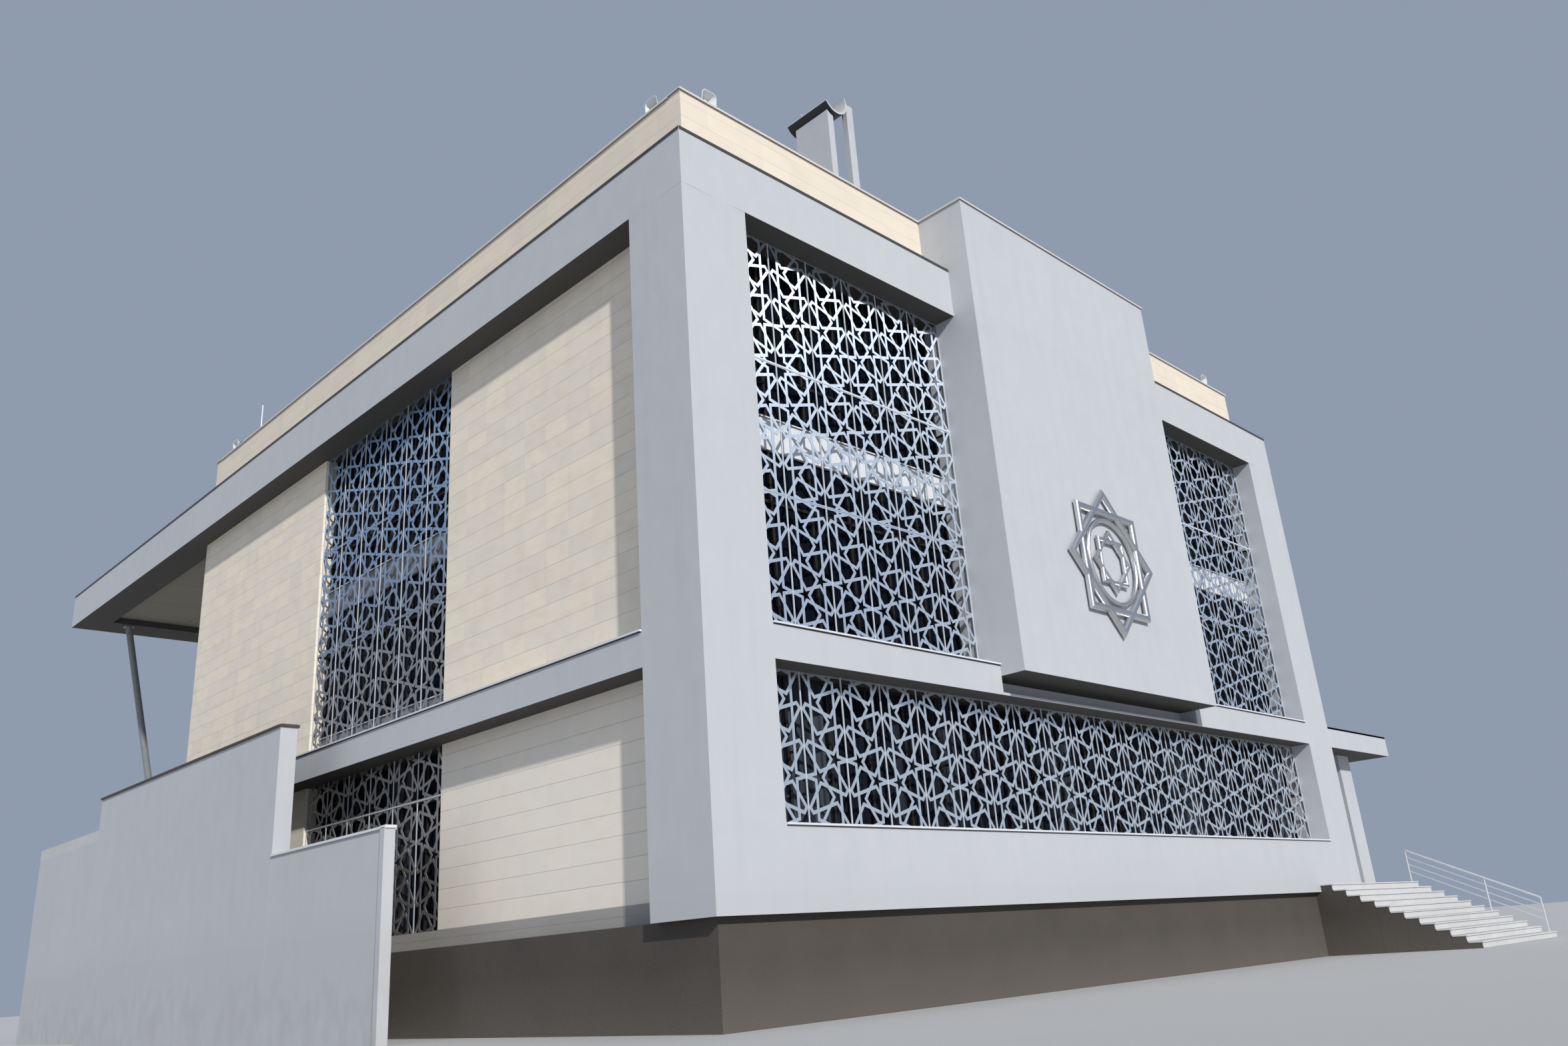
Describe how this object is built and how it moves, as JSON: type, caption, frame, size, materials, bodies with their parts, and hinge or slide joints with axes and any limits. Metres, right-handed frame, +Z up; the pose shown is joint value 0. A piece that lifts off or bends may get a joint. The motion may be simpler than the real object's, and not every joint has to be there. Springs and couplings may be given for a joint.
{
  "type": "mosque building",
  "caption": "Modern mosque: pale plaster frame round stone walls, star-lattice screens, projecting mihrab block, deep rear canopy, side porch with steps and a slender minaret.",
  "frame": {"origin": "centre of the whole building's plan, at the level of its lowest foot", "axes": "+X along the front wall from the garden-wall side to the minaret side, +Y from the front wall towards the rear entrance canopy, +Z up"},
  "size_m": [27.95, 35.863, 36.8291],
  "materials": {
    "plaster": "pale blue-grey smooth mineral plaster",
    "stone": "honed beige limestone cladding in thin courses",
    "concrete": "plain cast concrete",
    "dark_plinth": "dark damp-proofed concrete",
    "white_metal": "white powder-coated cut sheet",
    "dark_glass": "dark tinted glazing",
    "grey_metal": "satin grey paint",
    "white_stone": "sawn white limestone",
    "steel": "brushed stainless steel"
  },
  "bodies": {
    "root": {"front_pillar_left": "plaster", "front_pillar_right": "plaster", "front_top_beam_left": "plaster", "front_top_beam_right": "plaster", "left_top_beam": "plaster", "right_top_beam": "plaster", "canopy_end_beam": "plaster", "front_mid_beam_left": "plaster", "front_mid_beam_middle": "plaster", "front_mid_beam_right": "plaster", "front_base_wall": "plaster", "left_mid_beam": "plaster", "right_mid_beam": "plaster", "mihrab_block": "plaster", "terrace_wall_left": "plaster", "terrace_wall_right": "plaster", "terrace_wall_back": "plaster", "side_canopy": "plaster", "side_canopy_post": "plaster", "minaret_slab": "plaster", "minaret_post": "plaster", "garden_wall": "plaster", "low_garden_wall": "plaster", "left_stone_wall_front": "stone", "left_stone_wall_rear": "stone", "right_stone_wall_front": "stone", "right_stone_wall_rear": "stone", "back_wall": "stone", "parapet_front_left": "stone", "parapet_front_right": "stone", "parapet_left": "stone", "parapet_right": "stone", "parapet_back": "stone", "ground_floor_slab": "concrete", "prayer_hall_floor": "concrete", "roof_slab": "concrete", "canopy_slab": "concrete", "tie_beam_left": "concrete", "tie_beam_right": "concrete", "foundation_plinth": "dark_plinth", "front_screen_upper_left": "white_metal", "front_screen_upper_right": "white_metal", "front_screen_lower": "white_metal", "left_screen_upper": "white_metal", "left_screen_lower": "white_metal", "right_screen_upper": "white_metal", "right_screen_lower": "white_metal", "front_glass_upper_left": "dark_glass", "front_glass_upper_right": "dark_glass", "front_glass_lower": "dark_glass", "left_glass": "dark_glass", "right_glass": "dark_glass", "canopy_column_left": "grey_metal", "canopy_column_right": "grey_metal", "minaret_trough": "grey_metal", "terrace_slab": "white_stone", "steps_and_landing": "white_stone", "step_handrail": "steel"}
  },
  "joints": []
}
